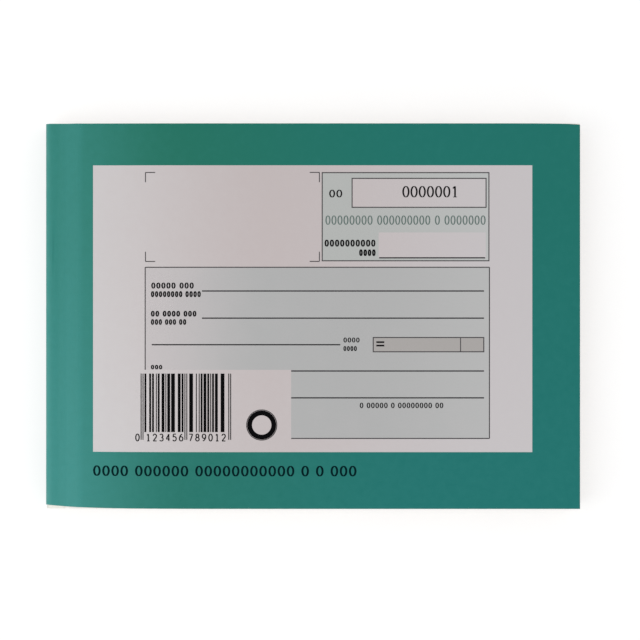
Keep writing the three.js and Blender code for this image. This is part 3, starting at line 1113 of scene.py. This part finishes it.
serial_digits = (*SERIAL_PLACE, SERIAL_HEIGHT, SERIAL_PITCH, SERIAL_NARROWING)
cover_marks = receipt_form(LOWER_FIELD[0]) + bar_code() + plain_rings()
cover_marks += number_row("0000001", *serial_digits, *SERIAL_STROKES, TEXT)
on_cover = ("front_cover", cover_top, COVER_FILM)
printed("cover_print", cover_marks, *on_cover, COVER_INKS, shift=corner_shift)
cover_line = label(*COVER_LINE, 0)
printed("cover_line_print", cover_line, *on_cover, [COVER_LINE_INK], shift=corner_shift)

SLIP_SCALE = 1.2
SLIP_MIDDLE = ((PERFORATION_X + FORE_EDGE_X) / 2 - 2.0, -5.0)
LOOSE_SETS = (1, 2, 3)
MIDDLE_SETS_START = 4
LOWER_SETS_START = 26
slip_form = receipt_form(UPPER_FIELD[0])


def leaf_print(name, kind, body, top, serial):
    """The form on one leaf, with the number of its set as seven digits."""
    marks = slip_form + number_row(f"{serial:07}", *serial_digits, *LEAF_SERIAL_STROKES, SERIAL)
    printed(name, marks, body, flat(top), LEAF_FILM, LEAF_INKS[kind], SLIP_SCALE, SLIP_MIDDLE)


for set_number in LOOSE_SETS:
    for kind, end in (("original", "_slip"), ("duplicate", "_slip"), ("triplicate", "")):
        body = f"{kind}_{set_number}{end}"
        leaf_print(f"print_of_{kind}_{set_number}", kind, body, span(body, 2)[1], set_number)
for layer, body, first_set in (
    ("middle", "middle_sets", MIDDLE_SETS_START), ("lower", "book_back", LOWER_SETS_START),
):
    leaf_print(f"print_of_{layer}_leaves", "original", body, span(f"{layer}_sets", 2)[1], first_set)


# Finishes of the pieces that are shown as modelled

NODE_FINISHES = {
    "bound_edge": BOUND_LEAVES, "binding_glue": BINDING_GLUE, "back_board": GREY_BOARD,
    "head_staple": STAPLE_WIRE, "foot_staple": STAPLE_WIRE, "writing_shield": SHIELD_CARD,
}
for name, node in frame["nodes"].items():
    finish = NODE_FINISHES.get(name) or PAPERS.get(name.split("_")[0])
    if finish:
        for slot in node.material_slots:
            slot.material = finish


# Floor, light and camera: the camera looks straight down, and the field is what it sees at the cover

CAMERA_LENS = 96.0
CAMERA_SENSOR = 36.0
CAMERA_FIELD = 224.2
CAMERA_X = 2.7
CAMERA_Y = -1.35
CAMERA_NEAR = 50.0
FLOOR_SIZE = 3000.0
FLOOR_DROP = 0.05


def white_floor():
    """A pale floor that keeps a faint shadow: part of its white is its own, for rays that see it, and more
    of it is where the lamps don't reach."""
    floor = Finish("floor", Roughness=0.9, Specular_IOR_Level=0.0, Emission_Strength=1.0)
    grain = floor.noise(40.0)
    floor.show(Base_Color=floor.mixed(grain, srgb(184, 184, 184), srgb(188, 188, 188)))
    far = (abs(floor.x) + abs(floor.y)).ramp(400.0, 900.0)
    glow = floor.mixed(far, (0.56, 0.56, 0.56, 1), (0.74, 0.74, 0.74, 1))
    floor.show(Emission_Color=floor.mixed(floor.seen_share(), (0, 0, 0, 1), glow))
    return floor.material


half = FLOOR_SIZE / 2
floor_shape = plate([-half, half], [-half, half], flat(-FLOOR_DROP), flat(-FLOOR_DROP - 1))
floor = piece("floor", floor_shape, None, [white_floor()])


def lamp(name, place, size, power, colour):
    """A rectangular soft light at a place in millimetres, turned to the middle of the book."""
    light = bpy.data.lights.new(name, "AREA")
    light.shape = "RECTANGLE"
    light.size, light.size_y = size[0] * MM, size[1] * MM
    light.energy = power
    light.color = colour
    made = bpy.data.objects.new(name, light)
    made.location = [value * MM for value in place]
    made.rotation_euler = (-Vector(place)).to_track_quat("-Z", "Y").to_euler()
    bpy.context.scene.collection.objects.link(made)


lamp("left_softbox", (-420, -160, 620), (560, 760), 2.18, (0.98, 1.0, 1.0))
lamp("right_fill", (700, 300, 800), (700, 700), 1.05, (1.0, 0.985, 0.98))
lamp("front_fill", (350, -900, 340), (1400, 600), 1.7, (1.0, 0.995, 0.99))
lamp("back_fill", (-350, 900, 340), (1400, 600), 1.5, (1.0, 0.995, 0.99))

world = bpy.data.worlds.new("studio")
bpy.context.scene.world = world
studio = Nodes(world)
surround = studio.mixed(studio.seen_share(), (0.62, 0.62, 0.62, 1), (1, 1, 1, 1))
studio.tree.links.new(surround.socket, studio.tree.nodes["Background"].inputs["Color"])

camera_data = bpy.data.cameras.new("camera")
camera_data.lens = CAMERA_LENS
camera_data.sensor_width = CAMERA_SENSOR
camera_data.clip_start = CAMERA_NEAR * MM
camera = bpy.data.objects.new("camera", camera_data)
camera_height = TOP + CAMERA_FIELD * CAMERA_LENS / CAMERA_SENSOR
camera.location = (CAMERA_X * MM, CAMERA_Y * MM, camera_height * MM)
bpy.context.scene.collection.objects.link(camera)
bpy.context.scene.camera = camera
bpy.context.scene.view_settings.view_transform = "Standard"
